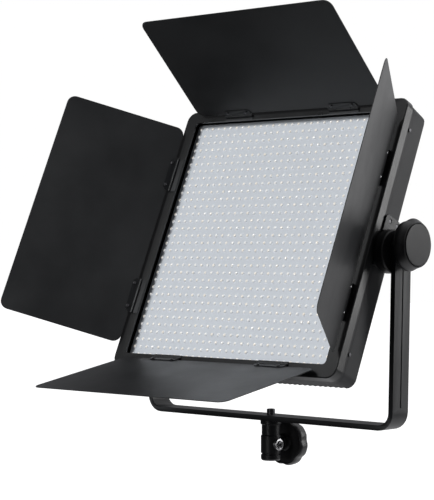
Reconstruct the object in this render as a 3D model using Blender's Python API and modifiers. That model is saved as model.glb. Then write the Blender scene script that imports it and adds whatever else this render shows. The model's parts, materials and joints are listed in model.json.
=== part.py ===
"""An LED panel light with four barn doors, on a yoke with a stand adapter.

Metres, +Z up. The origin is the centre of the stand adapter's socket mouth, and the light
looks along -Y. The head hangs on a tilt axis, a line along X above the origin. Head parts
are placed in the panel frame: x to the right, y towards the back, z up the panel, with its
origin at the middle of the LED board's front face. Each barn door has a frame on its hinge
axis: x away from the hinge along the door, y along the hinge, z to the door's outer side.
"""

import math

import bmesh
import bpy
from mathutils import Matrix, Vector

MM = 0.001
GAP = 0.3 * MM
HAIR = 0.02 * MM
ON_EDGE = (math.pi / 2, 0, 0)

# Pose at rest, in degrees. A door is 0 flat outwards, 90 straight ahead and 180 closed.
HEAD_TILT = 23.88
DOOR_ANGLES = {"left": 46.4, "right": 60.6, "top": 68.7, "bottom": 55.9}

# Yoke and stand adapter
TILT_AXIS_Z = 272 * MM
ARM_OUTER_TOP = 207.0 * MM
ARM_OUTER_BOTTOM = 201.8 * MM
BAR_WIDTH = 31 * MM
BAR_THICKNESS = 6.6 * MM
BAR_DROP = 221.0 * MM
BAR_EDGE = 2 * MM
BEND_RADIUS = 22 * MM
ARM_LEAN = math.atan((ARM_OUTER_TOP - ARM_OUTER_BOTTOM) / BAR_DROP)
GROOVE_WIDTH = 2.2 * MM
GROOVE_DEPTH = 1.0 * MM
GROOVE_START = 18 * MM
GROOVE_END = 194 * MM
ADAPTER_TOP = 50.7 * MM
SOCKET_RADIUS = 8.1 * MM
SOCKET_DEPTH = 38 * MM
LOCK_Z = 20.5 * MM
LOCK_KNOB_RADIUS = 30.6 * MM
LOCK_KNOB_INNER = 24 * MM
LOCK_KNOB_THICKNESS = 17 * MM
LOCK_NOTCHES = 7
LOCK_NOTCH_TURN = math.radians(95)
LOCK_NOTCH_DEPTH = 1.8 * MM

# Head, in the panel frame
PANEL_FROM_AXIS = 18 * MM
BEZEL_HALF_X = 183.4 * MM
BEZEL_HALF_Z = 182.4 * MM
BEZEL_CORNER = 13 * MM
BEZEL_FRONT = -13.8 * MM
BEZEL_BACK = -1.3 * MM
BEZEL_WALL = 2.4 * MM
APERTURE_HALF_X = 165 * MM
APERTURE_HALF_Z = 165.6 * MM
APERTURE_CORNER = 5 * MM
BOARD_HALF_X = 171.5 * MM
BOARD_HALF_Z = 169 * MM
HOUSING_FRONT = -0.9 * MM
HOUSING_SIDE_END = 30 * MM
HOUSING_BACK = 52 * MM
HOUSING_WALL = 2.2 * MM
RIB_COUNT = 43
RIB_DEPTH = 1.2 * MM

# Barn doors and their hinges
HINGE_Y = -16.2 * MM
SIDE_HINGE_X = 174.2 * MM
END_HINGE_Z = 170.3 * MM
SIDE_DOOR = (166 * MM, 154.4 * MM)
END_DOOR = (165.6 * MM, 156.9 * MM)
DOOR_THICKNESS = 1.0 * MM
DOOR_CORNER = 11 * MM
DOOR_START = 3.5 * MM
HINGE_PLACES = (-87.3 * MM, 87.3 * MM)
HINGE_HALF = 23.5 * MM
KNUCKLE_RADIUS = 1.5 * MM
KNUCKLE_SPLIT = 11.5 * MM
PIN_RADIUS = 0.65 * MM
LEAF_PLATE = 0.8 * MM
LEAF_PLATE_REACH = 9.6 * MM
RIVET_PLACE = (7 * MM, 16 * MM)
SIDE_BRACKET_REACH = 9.2 * MM
END_BRACKET_REACH = 4.8 * MM

# Tilt knobs, pivot bosses and side plates
BOSS_RADIUS = 26.4 * MM
BOSS_CENTRE = (17 * MM, -9 * MM)
BOSS_INNER = 186.2 * MM
BOSS_OUTER = 198.3 * MM
KNOB_RADIUS = 32.6 * MM
KNOB_INNER = 207.8 * MM
KNOB_FACE = 228.8 * MM
KNOB_NOTCHES = 4
KNOB_NOTCH_TURN = math.radians(105)
KNOB_NOTCH_DEPTH = 2.4 * MM
CAP_RADIUS = 25.2 * MM
TILT_BOLT_RADIUS = 5 * MM
BOLT_CLEARANCE = 0.5 * MM

# Layout of the back, in (x, z) on its face
OUT_OF_BACK = (-math.pi / 2, 0, 0)
SHOULDER_HALF_X = 155 * MM
SHOULDER_HALF_Z = 148 * MM
DISPLAY = ((-30 * MM, 92 * MM), (30 * MM, 122 * MM))
ROCKER = ((-104 * MM, 96 * MM), (-88 * MM, 120 * MM))
BATTERY = ((-55 * MM, -120 * MM), (55 * MM, 20 * MM))
DIMMER = (70 * MM, 107 * MM)
INLET = (-96 * MM, 60 * MM, 9 * MM)
BUTTON_X = (-22 * MM, 0, 22 * MM)
BUTTON_Z = 76 * MM
BUTTON_RADIUS = 4.5 * MM
BACK_OPENINGS = (("display_opening", *DISPLAY), ("rocker_opening", *ROCKER))
BACK_ROUND_HOLES = (
    INLET,
    (*DIMMER, 3 * MM),
    *((x, BUTTON_Z, BUTTON_RADIUS) for x in BUTTON_X),
)
PLATE_X = 184.3 * MM
PLATE_SCREWS = ((8.9 * MM, 26.9 * MM), (24 * MM, 26.9 * MM))


def material(name, colour, roughness, metallic=0.0):
    made = bpy.data.materials.new(name)
    made.use_nodes = True
    shader = made.node_tree.nodes["Principled BSDF"]
    shader.inputs["Base Color"].default_value = (*colour, 1.0)
    shader.inputs["Roughness"].default_value = roughness
    shader.inputs["Metallic"].default_value = metallic
    made.diffuse_color = (*colour, 1.0)
    return made


def collection(name):
    made = bpy.data.collections.new(name)
    bpy.context.scene.collection.children.link(made)
    return made


def empty(name, parent=None, location=(0, 0, 0), rotation=(0, 0, 0)):
    made = bpy.data.objects.new(name, None)
    made.parent = parent
    made.location = location
    made.rotation_euler = rotation
    made.empty_display_size = 0.02
    PARTS.objects.link(made)
    return made


def from_mesh(name, mesh, look, parent, location=(0, 0, 0), rotation=(0, 0, 0)):
    made = bpy.data.objects.new(name, mesh)
    made.parent = parent
    made.location = location
    made.rotation_euler = rotation
    if not mesh.materials:
        mesh.materials.append(look)
    PARTS.objects.link(made)
    return made


def from_bmesh(name, shape, *placing):
    mesh = bpy.data.meshes.new(name)
    shape.to_mesh(mesh)
    shape.free()
    return from_mesh(name, mesh, *placing)


def box(name, low, high, look, parent, bevel=0.0):
    """A box between two corners, given in the parent's frame."""
    shape = bmesh.new()
    bmesh.ops.create_cube(shape, size=1)
    size = Vector(high) - Vector(low)
    bmesh.ops.scale(shape, vec=size, verts=shape.verts)
    made = from_bmesh(name, shape, look, parent, (Vector(high) + Vector(low)) / 2)
    if bevel:
        add_bevel(made, bevel)
    return made


def cylinder(name, radius, start, end, look, parent, sides=20):
    """A cylinder from start to end, given in the parent's frame."""
    run = Vector(end) - Vector(start)
    shape = bmesh.new()
    bmesh.ops.create_cone(
        shape, cap_ends=True, segments=sides, radius1=radius, radius2=radius, depth=run.length
    )
    turn = Vector((0, 0, 1)).rotation_difference(run).to_euler()
    middle = (Vector(start) + Vector(end)) / 2
    return from_bmesh(name, shape, look, parent, middle, turn)


def turned(name, profile, look, parent, location=(0, 0, 0), rotation=(0, 0, 0), steps=32):
    """A profile of (radius, height) points, outer side downwards, turned about local Z."""
    shape = bmesh.new()
    points = [shape.verts.new((radius, 0, height)) for radius, height in profile]
    for first, second in zip(points, points[1:]):
        shape.edges.new((first, second))
    if profile[0][0] > 0:
        shape.edges.new((points[-1], points[0]))
    made = from_bmesh(name, shape, look, parent, location, rotation)
    screw = made.modifiers.new("turn", "SCREW")
    screw.steps = screw.render_steps = steps
    screw.use_merge_vertices = True
    screw.merge_threshold = 0.00001
    return made


def plate(name, outlines, thickness, look, parent, location=(0, 0, 0), rotation=(0, 0, 0)):
    """Closed outlines in local XY, filled and given a thickness about local Z."""
    curve = bpy.data.curves.new(name, "CURVE")
    curve.dimensions = "2D"
    curve.fill_mode = "BOTH"
    curve.extrude = thickness / 2
    for outline in outlines:
        spline = curve.splines.new("POLY")
        spline.points.add(len(outline) - 1)
        for point, (x, y) in zip(spline.points, outline):
            point.co = (x, y, 0, 1)
        spline.use_cyclic_u = True
    guide = bpy.data.objects.new(name + "_outline", curve)
    PARTS.objects.link(guide)
    made = from_mesh(name, baked_mesh(guide), look, parent, location, rotation)
    bpy.data.objects.remove(guide)
    return made


def baked_mesh(obj):
    """The object's evaluated mesh, welded."""
    bpy.context.view_layer.update()
    graph = bpy.context.evaluated_depsgraph_get()
    mesh = bpy.data.meshes.new_from_object(obj.evaluated_get(graph))
    shape = bmesh.new()
    shape.from_mesh(mesh)
    bmesh.ops.remove_doubles(shape, verts=shape.verts, dist=1e-6)
    shape.to_mesh(mesh)
    shape.free()
    return mesh


def baked(name, obj, look):
    """A mesh holding obj and its modifiers, for copies to share. obj and its helpers go."""
    mesh = baked_mesh(obj)
    mesh.transform(obj.matrix_world)
    mesh.name = name
    mesh.materials.clear()
    mesh.materials.append(look)
    for modifier in obj.modifiers:
        if modifier.type == "BOOLEAN":
            bpy.data.objects.remove(modifier.object)
    bpy.data.objects.remove(obj)
    return mesh


def loft(name, rings, look, parent, close_start=False, close_end=False):
    """A surface through rings that have the same number of points each."""
    shape = bmesh.new()
    loops = [[shape.verts.new(point) for point in ring] for ring in rings]
    for near, far in zip(loops, loops[1:]):
        for index in range(len(near)):
            before = index - 1
            shape.faces.new((near[before], near[index], far[index], far[before]))
    if close_start:
        shape.faces.new(loops[0])
    if close_end:
        shape.faces.new(loops[-1])
    bmesh.ops.recalc_face_normals(shape, faces=shape.faces)
    return from_bmesh(name, shape, look, parent)


def add_bevel(obj, width, segments=2):
    bevel = obj.modifiers.new("bevel", "BEVEL")
    bevel.width = width
    bevel.segments = segments
    bevel.limit_method = "ANGLE"
    bevel.harden_normals = False
    return obj


def add_wall(obj, thickness):
    """Gives an open surface a wall on its inner side."""
    wall = obj.modifiers.new("wall", "SOLIDIFY")
    wall.thickness = thickness
    wall.offset = -1
    wall.use_even_offset = True
    return obj


def combine(target, helper, operation):
    """Joins helper to target or cuts it away, and puts helper among the cutters."""
    modifier = target.modifiers.new(operation.lower(), "BOOLEAN")
    modifier.operation = operation
    modifier.object = helper
    PARTS.objects.unlink(helper)
    CUTTERS.objects.link(helper)
    helper.hide_render = True
    helper.display_type = "WIRE"
    return target


def smooth(obj, angle=35):
    obj.data.shade_smooth()
    obj.data.set_sharp_from_angle(angle=math.radians(angle))
    return obj


def arc(centre, radius, start, end, steps):
    """Points on an arc, with its angles in degrees."""
    turns = (math.radians(start + (end - start) * step / steps) for step in range(steps + 1))
    return [(centre[0] + radius * math.cos(t), centre[1] + radius * math.sin(t)) for t in turns]


def rounded_rectangle(half_x, half_y, corner, steps=5):
    points = []
    for start, sign_x, sign_y in ((0, 1, 1), (90, -1, 1), (180, -1, -1), (270, 1, -1)):
        centre = (sign_x * (half_x - corner), sign_y * (half_y - corner))
        points += arc(centre, corner, start, start + 90, steps)
    return points


def upright(outline, depth):
    """An outline in x and z, as points at the depth y."""
    return [(x, depth, z) for x, z in outline]


# Yoke


def yoke_edge(inset, steps=6):
    """The yoke's outline at a depth under its outer face, from arm end to arm end."""
    radius = BEND_RADIUS - inset
    bottom = TILT_AXIS_Z - BAR_DROP + inset
    top_x = ARM_OUTER_TOP - inset / math.cos(ARM_LEAN)
    face_x = top_x - math.tan(ARM_LEAN) * (BAR_DROP - inset - radius)
    centre = (face_x - radius / math.cos(ARM_LEAN), bottom + radius)
    right = arc(centre, radius, -90, -math.degrees(ARM_LEAN), steps) + [(top_x, TILT_AXIS_Z)]
    return [(-x, z) for x, z in reversed(right)] + right


def make_yoke(look):
    outline = yoke_edge(0) + yoke_edge(BAR_THICKNESS)[::-1]
    yoke = plate("yoke", [outline], BAR_WIDTH, look, None, (0, 0, 0), ON_EDGE)
    add_bevel(yoke, BAR_EDGE)
    for side in (-1, 1):
        middle = Vector((side * (ARM_OUTER_TOP - BAR_THICKNESS / 2), 0, TILT_AXIS_Z))
        across = Vector((side * math.cos(ARM_LEAN), 0, -math.sin(ARM_LEAN)))
        across *= BAR_THICKNESS / 2 - HAIR
        end = cylinder("arm_end", BAR_WIDTH / 2 - HAIR, middle - across, middle + across, look, None)
        combine(yoke, end, "UNION")
        hole = cylinder(
            "arm_hole",
            TILT_BOLT_RADIUS + BOLT_CLEARANCE,
            middle - Vector((0.01, 0, 0)),
            middle + Vector((0.01, 0, 0)),
            look,
            None,
        )
        combine(yoke, hole, "DIFFERENCE")
        add_arm_groove(yoke, side, look)
    bolt_hole = cylinder("bolt_hole", 4.3 * MM, (0, 0, 0.04), (0, 0, 0.07), look, None)
    return combine(yoke, bolt_hole, "DIFFERENCE")


def add_arm_groove(yoke, side, look):
    """The long groove in the outside of one arm."""
    run = Vector((-side * math.sin(ARM_LEAN), 0, -math.cos(ARM_LEAN)))
    length = GROOVE_END - GROOVE_START
    middle = Vector((side * ARM_OUTER_TOP, 0, TILT_AXIS_Z)) + run * (GROOVE_START + length / 2)
    groove = box(
        "arm_groove",
        (-GROOVE_DEPTH, -GROOVE_WIDTH / 2, -length / 2),
        (GROOVE_DEPTH, GROOVE_WIDTH / 2, length / 2),
        look,
        None,
    )
    groove.location = middle
    groove.rotation_euler = (0, side * ARM_LEAN, 0)
    combine(yoke, groove, "DIFFERENCE")


# Stand adapter and its lock


def make_adapter(black, steel):
    """A turned socket with a hole for the lock bolt and one for a set screw."""
    profile = [
        (0, ADAPTER_TOP - 10 * MM),
        (4.3 * MM, ADAPTER_TOP - 10 * MM),
        (4.3 * MM, ADAPTER_TOP),
        (12.7 * MM, ADAPTER_TOP),
        (13.2 * MM, ADAPTER_TOP - 0.5 * MM),
        (13.2 * MM, 46 * MM),
        (11.7 * MM, 45 * MM),
        (11.7 * MM, 32 * MM),
        (12.8 * MM, 31 * MM),
        (12.8 * MM, 9.5 * MM),
        (11.5 * MM, 9 * MM),
        (11.5 * MM, 7.5 * MM),
        (12.7 * MM, 7 * MM),
        (12.7 * MM, 2 * MM),
        (11.2 * MM, 0),
        (SOCKET_RADIUS, 0),
        (SOCKET_RADIUS, SOCKET_DEPTH),
        (0, SOCKET_DEPTH),
    ]
    adapter = turned("stand_adapter", profile, black, None)
    start, end = (0, 6 * MM, LOCK_Z), (0, 16 * MM, LOCK_Z)
    combine(adapter, cylinder("lock_hole", 4.4 * MM, start, end, black, None), "DIFFERENCE")
    start, end = (6 * MM, 0, LOCK_Z), (16 * MM, 0, LOCK_Z)
    combine(adapter, cylinder("screw_hole", 4.6 * MM, start, end, black, None), "DIFFERENCE")
    start, end = (8.6 * MM, 0, LOCK_Z), (12.2 * MM, 0, LOCK_Z)
    screw = cylinder("adapter_set_screw", 4.2 * MM, start, end, steel, None)
    add_bevel(screw, 0.4 * MM)
    start, end = (10 * MM, 0, LOCK_Z), (14 * MM, 0, LOCK_Z)
    socket = cylinder("set_screw_socket", 2 * MM, start, end, steel, None, sides=6)
    combine(screw, socket, "DIFFERENCE")
    smooth(adapter)


def make_yoke_bolt(steel):
    """The socket cap screw that holds the yoke on the adapter."""
    bar_top = TILT_AXIS_Z - BAR_DROP + BAR_THICKNESS
    head_low = bar_top + GAP
    profile = [
        (0, head_low + 7 * MM),
        (4.7 * MM, head_low + 7 * MM),
        (5.25 * MM, head_low + 6.4 * MM),
        (5.25 * MM, head_low),
        (4 * MM, head_low),
        (4 * MM, ADAPTER_TOP - 9 * MM),
        (0, ADAPTER_TOP - 9 * MM),
    ]
    bolt = turned("yoke_bolt", profile, steel, None, steps=24)
    start, end = (0, 0, head_low + 3.5 * MM), (0, 0, head_low + 9 * MM)
    socket = cylinder("cap_socket", 2.6 * MM, start, end, steel, None, sides=6)
    combine(bolt, socket, "DIFFERENCE")
    smooth(bolt)


def lobed_outline(radius, depth, lobes, steps):
    points = []
    for step in range(steps):
        turn = 2 * math.pi * step / steps
        here = radius - depth * (1 - math.cos(lobes * turn)) / 2
        points.append((here * math.cos(turn), here * math.sin(turn)))
    return points


def notched_outline(radius, depth, notches, first, steps):
    """A circle with a few finger notches, one of them at the given turn."""
    points = []
    for step in range(steps):
        turn = 2 * math.pi * step / steps
        near = (1 + math.cos(notches * (turn - first))) / 2
        here = radius - depth * near**3
        points.append((here * math.cos(turn), here * math.sin(turn)))
    return points


def make_stand_lock(rubber, steel):
    axis = empty("stand_lock_axis", None, (0, 0, LOCK_Z), (-math.pi / 2, 0, 0))
    shape = (LOCK_KNOB_RADIUS, LOCK_NOTCH_DEPTH, LOCK_NOTCHES, LOCK_NOTCH_TURN)
    outline = notched_outline(*shape, 56)
    middle = LOCK_KNOB_INNER + LOCK_KNOB_THICKNESS / 2
    knob = plate("stand_lock_knob", [outline], LOCK_KNOB_THICKNESS, rubber, axis, (0, 0, middle))
    add_bevel(knob, 3 * MM)
    hub = cylinder("lock_hub", 9 * MM, (0, 0, 19 * MM), (0, 0, 26 * MM), rubber, axis)
    combine(knob, hub, "UNION")
    bore = cylinder("lock_bore", 4.3 * MM, (0, 0, 15 * MM), (0, 0, 34 * MM), rubber, axis)
    combine(knob, bore, "DIFFERENCE")
    bolt = cylinder("stand_lock_bolt", 4 * MM, (0, 0, 8.5 * MM), (0, 0, 33.5 * MM), steel, axis)
    add_bevel(bolt, 0.6 * MM)


# Tilt knobs


def knob_mesh(rubber):
    """Domed body with finger notches, a recess for its cap and a bore for its bolt."""
    stations = (
        (KNOB_INNER, 15 * MM, 0),
        (KNOB_INNER + 2 * MM, 22 * MM, 0),
        (KNOB_INNER + 5 * MM, 29 * MM, 0.7),
        (KNOB_INNER + 8 * MM, KNOB_RADIUS - 0.5 * MM, 1),
        (KNOB_INNER + 11 * MM, KNOB_RADIUS, 1),
        (KNOB_INNER + 14 * MM, KNOB_RADIUS - 1.4 * MM, 0.9),
        (KNOB_INNER + 17.4 * MM, KNOB_RADIUS - 4.2 * MM, 0.3),
        (KNOB_FACE - 1.6 * MM, CAP_RADIUS + 1.2 * MM, 0),
    )
    rings = []
    for x, radius, notch in stations:
        depth = KNOB_NOTCH_DEPTH * notch
        outline = notched_outline(radius, depth, KNOB_NOTCHES, KNOB_NOTCH_TURN, 48)
        rings.append([(x, y, z) for y, z in outline])
    knob = loft("knob", rings, rubber, None, close_start=True, close_end=True)
    start, end = (KNOB_FACE - 3.6 * MM, 0, 0), (KNOB_FACE + 10 * MM, 0, 0)
    recess = cylinder("cap_recess", CAP_RADIUS + GAP, start, end, rubber, None, 48)
    combine(knob, recess, "DIFFERENCE")
    start, end = (KNOB_INNER - 8 * MM, 0, 0), (KNOB_FACE - 7 * MM, 0, 0)
    bore = cylinder("bolt_bore", TILT_BOLT_RADIUS + GAP, start, end, rubber, None)
    combine(knob, bore, "DIFFERENCE")
    return baked("tilt_knob_body", knob, rubber)


def make_tilt_knobs(rubber, dark, steel):
    body = knob_mesh(rubber)
    for name, turn in (("right", 0), ("left", math.pi)):
        axis = empty(f"tilt_knob_axis_{name}", None, (0, 0, TILT_AXIS_Z), (0, 0, turn))
        smooth(from_mesh(f"tilt_knob_{name}", body, rubber, axis), 40)
        base = KNOB_FACE - 3.3 * MM
        profile = [
            (0, KNOB_FACE),
            (CAP_RADIUS - 0.8 * MM, KNOB_FACE - 0.1 * MM),
            (CAP_RADIUS, KNOB_FACE - 0.9 * MM),
            (CAP_RADIUS, base),
            (0, base),
        ]
        along = (0, math.pi / 2, 0)
        smooth(turned(f"tilt_knob_cap_{name}", profile, dark, axis, (0, 0, 0), along, 48))
        start = (BOSS_INNER + 3 * MM, 0, 0)
        end = (KNOB_FACE - 7.5 * MM, 0, 0)
        bolt = cylinder(f"tilt_bolt_{name}", TILT_BOLT_RADIUS, start, end, steel, axis)
        add_bevel(bolt, 0.6 * MM)


# Head: bezel, housing and what they hold


def housing_outline(half_x, half_z, corner, rib, edge_points):
    """A rounded rectangle whose lower edge carries ribs of the given depth."""
    outline = rounded_rectangle(half_x, half_z, corner)
    corners = len(outline) // 4
    lower = outline[2 * corners : 3 * corners]
    start = lower[-1][0]
    end = -start
    ribbed = []
    for step in range(1, edge_points):
        x = start + (end - start) * step / edge_points
        ribbed.append((x, -half_z + rib * (step % 2)))
    return outline[: 3 * corners] + ribbed + outline[3 * corners :]


def make_bezel(look, frame):
    rings = [
        upright(rounded_rectangle(APERTURE_HALF_X, APERTURE_HALF_Z, APERTURE_CORNER), BEZEL_FRONT),
        upright(
            rounded_rectangle(BEZEL_HALF_X - 1.2 * MM, BEZEL_HALF_Z - 1.2 * MM, BEZEL_CORNER - 1 * MM),
            BEZEL_FRONT,
        ),
        upright(rounded_rectangle(BEZEL_HALF_X, BEZEL_HALF_Z, BEZEL_CORNER), BEZEL_FRONT + 1.2 * MM),
        upright(rounded_rectangle(BEZEL_HALF_X, BEZEL_HALF_Z, BEZEL_CORNER), BEZEL_BACK),
    ]
    bezel = loft("front_bezel", rings, look, frame)
    add_wall(bezel, BEZEL_WALL)
    return smooth(bezel)


def make_housing(look, frame):
    """The rear shell: straight ribbed sides, a sloped shoulder and a flat back."""
    edge_points = 2 * RIB_COUNT
    stations = (
        (HOUSING_FRONT, 181.6 * MM, 182 * MM, 14 * MM, 0),
        (5 * MM, 181.4 * MM, 181.9 * MM, 14 * MM, 0),
        (5.6 * MM, 181.4 * MM, 181.9 * MM, 14 * MM, RIB_DEPTH),
        (HOUSING_SIDE_END, 180.2 * MM, 179 * MM, 11 * MM, RIB_DEPTH),
        (HOUSING_SIDE_END + 2 * MM, 178.8 * MM, 177.3 * MM, 10 * MM, 0),
        (HOUSING_BACK, SHOULDER_HALF_X, SHOULDER_HALF_Z, 8 * MM, 0),
    )
    rings = []
    for depth, half_x, half_z, corner, rib in stations:
        rings.append(upright(housing_outline(half_x, half_z, corner, rib, edge_points), depth))
    housing = loft("rear_housing", rings, look, frame, close_end=True)
    add_wall(housing, HOUSING_WALL)
    for name, low, high in BACK_OPENINGS:
        cut_through(housing, name, low, high, look, frame)
    for index, (x, z, radius) in enumerate(BACK_ROUND_HOLES):
        start = (x, HOUSING_BACK - 8 * MM, z)
        end = (x, HOUSING_BACK + 8 * MM, z)
        hole = cylinder(f"back_hole_{index}", radius + GAP, start, end, look, frame)
        combine(housing, hole, "DIFFERENCE")
    return housing


def cut_through(target, name, low, high, look, frame):
    """A rectangular opening through the back, from (x, z) corners."""
    hole = box(
        name,
        (low[0] - GAP, HOUSING_BACK - 8 * MM, low[1] - GAP),
        (high[0] + GAP, HOUSING_BACK + 8 * MM, high[1] + GAP),
        look,
        frame,
    )
    combine(target, hole, "DIFFERENCE")


def make_boards(white, metal, green, frame):
    outline = rounded_rectangle(BOARD_HALF_X, BOARD_HALF_Z, 3 * MM, 2)
    plate("led_board", [outline], 1.6 * MM, white, frame, (0, 0.8 * MM, 0), ON_EDGE)
    spreader = [(-174 * MM, 2 * MM, -171.5 * MM), (174 * MM, 4.5 * MM, 171.5 * MM)]
    add_bevel(box("heat_spreader", *spreader, metal, frame), 1 * MM, 1)
    low, high = (-60 * MM, 14 * MM, -110 * MM), (60 * MM, 15.6 * MM, -30 * MM)
    box("driver_board", low, high, green, frame)


def make_back_fittings(looks, frame):
    """What the back carries: display, inlet, battery plate and the controls that move."""
    low, high = DISPLAY
    add_bevel(
        box(
            "display_window",
            (low[0], HOUSING_BACK - 2.5 * MM, low[1]),
            (high[0], HOUSING_BACK + 0.6 * MM, high[1]),
            looks["gloss"],
            frame,
        ),
        0.4 * MM,
    )
    make_inlet(looks, frame)
    make_battery_plate(looks, frame)
    make_dimmer(looks, frame)
    make_rocker(looks, frame)
    for index, x in enumerate(BUTTON_X):
        make_button(index + 1, x, looks, frame)


def make_inlet(looks, frame):
    x, z, radius = INLET
    profile = [
        (radius + 2 * MM, 3 * MM),
        (radius + 2 * MM, GAP),
        (radius, GAP),
        (radius, -9 * MM),
        (radius - 2 * MM, -9 * MM),
        (radius - 2 * MM, 3 * MM),
    ]
    turned("dc_inlet", profile, looks["dark"], frame, (x, HOUSING_BACK, z), OUT_OF_BACK, 24)


def make_battery_plate(looks, frame):
    """A flat plate with two rails that a battery slides down between."""
    low, high = BATTERY
    base = HOUSING_BACK + GAP
    body = box(
        "battery_plate",
        (low[0], base, low[1]),
        (high[0], base + 5 * MM, high[1]),
        looks["dark"],
        frame,
    )
    add_bevel(body, 1 * MM)
    for side in (-1, 1):
        edge = side * (high[0] - 6 * MM)
        rail = box(
            "battery_rail",
            (edge - 5 * MM, base + 1 * MM, low[1] + 6 * MM),
            (edge + 5 * MM, base + 11 * MM, high[1] - 6 * MM),
            looks["dark"],
            frame,
        )
        combine(body, rail, "UNION")


def make_dimmer(looks, frame):
    x, z = DIMMER
    axis = empty("dimmer_axis", frame, (x, HOUSING_BACK, z), OUT_OF_BACK)
    rings = []
    for height, radius, notch in (
        (1 * MM, 14 * MM, 1),
        (12 * MM, 13.2 * MM, 1),
        (13.5 * MM, 11.8 * MM, 0.3),
    ):
        outline = lobed_outline(radius, 0.9 * MM * notch, 12, 48)
        rings.append([(x, y, height) for x, y in outline])
    knob = loft("dimmer_knob", rings, looks["rubber"], axis, close_start=True, close_end=True)
    shaft = cylinder("dimmer_shaft", 3 * MM, (0, 0, -7 * MM), (0, 0, 3 * MM), looks["rubber"], axis)
    combine(knob, shaft, "UNION")


def make_rocker(looks, frame):
    """A rocker that turns on a line across its opening."""
    (low_x, low_z), (high_x, high_z) = ROCKER
    middle = ((low_x + high_x) / 2, HOUSING_BACK, (low_z + high_z) / 2)
    axis = empty("rocker_axis", frame, middle)
    half_x = (high_x - low_x) / 2 - 0.5 * MM
    half_z = (high_z - low_z) / 2 - 0.6 * MM
    outline = [
        (-half_z, 1.2 * MM),
        (0, 2.2 * MM),
        (half_z, 4.2 * MM),
        (half_z - 1 * MM, -5 * MM),
        (-half_z + 1 * MM, -5 * MM),
    ]
    side_on = (math.pi / 2, 0, math.pi / 2)
    profile = [(depth, along) for along, depth in outline]
    plate("power_rocker", [profile], 2 * half_x, looks["gloss"], axis, (0, 0, 0), side_on)


def make_button(number, x, looks, frame):
    z = BUTTON_Z
    axis = empty(f"button_axis_{number}", frame, (x, HOUSING_BACK, z))
    profile = [
        (0, 2.6 * MM),
        (BUTTON_RADIUS - 0.8 * MM, 2.6 * MM),
        (BUTTON_RADIUS, 1.8 * MM),
        (BUTTON_RADIUS, -5 * MM),
        (0, -5 * MM),
    ]
    turned(f"button_{number}", profile, looks["rubber"], axis, (0, 0, 0), OUT_OF_BACK, 20)


# Side plates, pivot bosses and screws


def make_pivots(looks, frame):
    """What each tilt bolt threads into: a boss on a plate on the housing's side."""
    for name, side in (("right", 1), ("left", -1)):
        outline = [
            (side * depth, z)
            for depth, z in (
                (-0.4 * MM, -33 * MM),
                (26 * MM, -33 * MM),
                (29 * MM, -30 * MM),
                (29 * MM, 30 * MM),
                (26 * MM, 33 * MM),
                (2.6 * MM, 33 * MM),
                (-0.4 * MM, 30 * MM),
            )
        ]
        on_side = (math.pi / 2, 0, math.pi / 2 * side)
        at = (side * PLATE_X, 0, 0)
        holder = plate(f"side_plate_{name}", [outline], 3 * MM, looks["black"], frame, at, on_side)
        for place in PLATE_SCREWS:
            start = Vector((side * (PLATE_X - 4 * MM), *place))
            end = Vector((side * (PLATE_X + 4 * MM), *place))
            hole = cylinder("plate_hole", 2.6 * MM + GAP, start, end, looks["black"], frame, 16)
            combine(holder, hole, "DIFFERENCE")
        for index, place in enumerate(PLATE_SCREWS):
            start = Vector((side * (PLATE_X - 1.2 * MM), *place))
            end = Vector((side * (PLATE_X + 1.0 * MM), *place))
            screw = f"side_plate_screw_{name}_{index + 1}"
            add_bevel(cylinder(screw, 2.6 * MM, start, end, looks["steel"], frame, 16), 0.3 * MM, 1)
        make_boss(name, side, looks["dark"], frame)


def make_boss(name, side, look, frame):
    """A disc set below the tilt axis, with the bolt's hole through it off its centre."""
    profile = [
        (0, BOSS_OUTER),
        (BOSS_RADIUS - 1.5 * MM, BOSS_OUTER),
        (BOSS_RADIUS, BOSS_OUTER - 1.5 * MM),
        (BOSS_RADIUS, BOSS_INNER),
        (0, BOSS_INNER),
    ]
    outwards = (0, side * math.pi / 2, 0)
    boss = turned(f"pivot_boss_{name}", profile, look, frame, (0, *BOSS_CENTRE), outwards, 40)
    radius = TILT_BOLT_RADIUS + BOLT_CLEARANCE
    start = (side * (BOSS_INNER - 4 * MM), PANEL_FROM_AXIS, 0)
    end = (side * (BOSS_OUTER + 4 * MM), PANEL_FROM_AXIS, 0)
    combine(boss, cylinder("boss_hole", radius, start, end, look, frame), "DIFFERENCE")
    smooth(boss)


def make_housing_screws(look, frame):
    """Cap screws that stand on the sides of the housing near its corners."""
    for name, side in (("right", 1), ("left", -1)):
        for level, z in (("upper", 146 * MM), ("lower", -146 * MM)):
            start = (side * 181.9 * MM, 4 * MM, z)
            end = (side * 183.2 * MM, 4 * MM, z)
            screw = cylinder(f"housing_screw_{name}_{level}", 2.4 * MM, start, end, look, frame, 16)
            add_bevel(screw, 0.4 * MM, 1)


# Barn doors


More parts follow.
